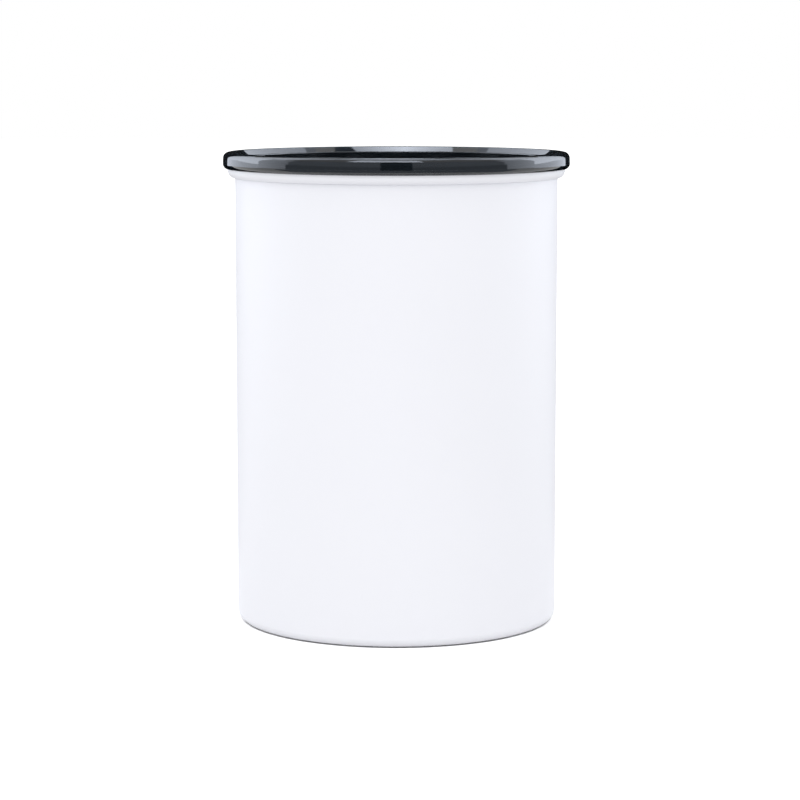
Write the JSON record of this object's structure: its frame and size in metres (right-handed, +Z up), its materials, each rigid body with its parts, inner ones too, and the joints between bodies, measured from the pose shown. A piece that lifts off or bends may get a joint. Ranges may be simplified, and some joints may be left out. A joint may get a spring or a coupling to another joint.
{
  "type": "coffee canister",
  "caption": "Steel coffee canister with a smoke-tinted push-on lid over a sliding inner lid, whose folding handle opens a valve to press the air out above the coffee.",
  "frame": {"origin": "middle of the base, on the surface that the canister stands on", "axes": "+Z up along the canister's axis, -Y towards the viewer, +X to the viewer's right along the handle's pivot axis"},
  "size_m": [0.1289, 0.1288, 0.1753],
  "materials": {
    "white_paint": "satin near-white paint outside, bare steel inside",
    "smoke_plastic": "clear, glossy, tinted dark smoke grey",
    "black_plastic": "moulded, fine satin texture",
    "grey_plastic": "moulded, satin",
    "silicone": "soft, matt",
    "steel": "drawn, bright"
  },
  "bodies": {
    "canister": {"canister_body": "white_paint"},
    "lid": {"outer_lid": "smoke_plastic"},
    "inner_lid": {"plunger_disc": "black_plastic", "plunger_seal": "silicone", "valve_cap": "grey_plastic", "cap_screws": "steel", "valve_spring": "steel", "pivot_pin_left": "steel", "pivot_pin_right": "steel"},
    "folding_handle": {"handle": "black_plastic"},
    "valve": {"valve_poppet": "grey_plastic", "valve_washer": "silicone", "lift_pin": "steel"}
  },
  "joints": [
    {"name": "lid_lift", "type": "slide", "parent": "canister", "child": "lid", "axis": [0, 0, 1], "range_m": [0, 0.1]},
    {"name": "inner_lid_slide", "type": "slide", "parent": "canister", "child": "inner_lid", "axis": [0, 0, 1], "range_m": [-0.111, 0.005]},
    {"name": "handle_fold", "type": "hinge", "parent": "inner_lid", "child": "folding_handle", "pos_m": [0, 0, 0.12467], "axis": [1, 0, 0], "range_deg": [0, 90]},
    {"name": "valve_lift", "type": "slide", "parent": "inner_lid", "child": "valve", "axis": [0, 0, 1], "range_m": [0, 0.002], "deforming": ["valve_spring"]}
  ],
  "couplings": [
    {"joint": "valve_lift", "follows": "handle_fold", "m_per_rad": 0.001273}
  ]
}
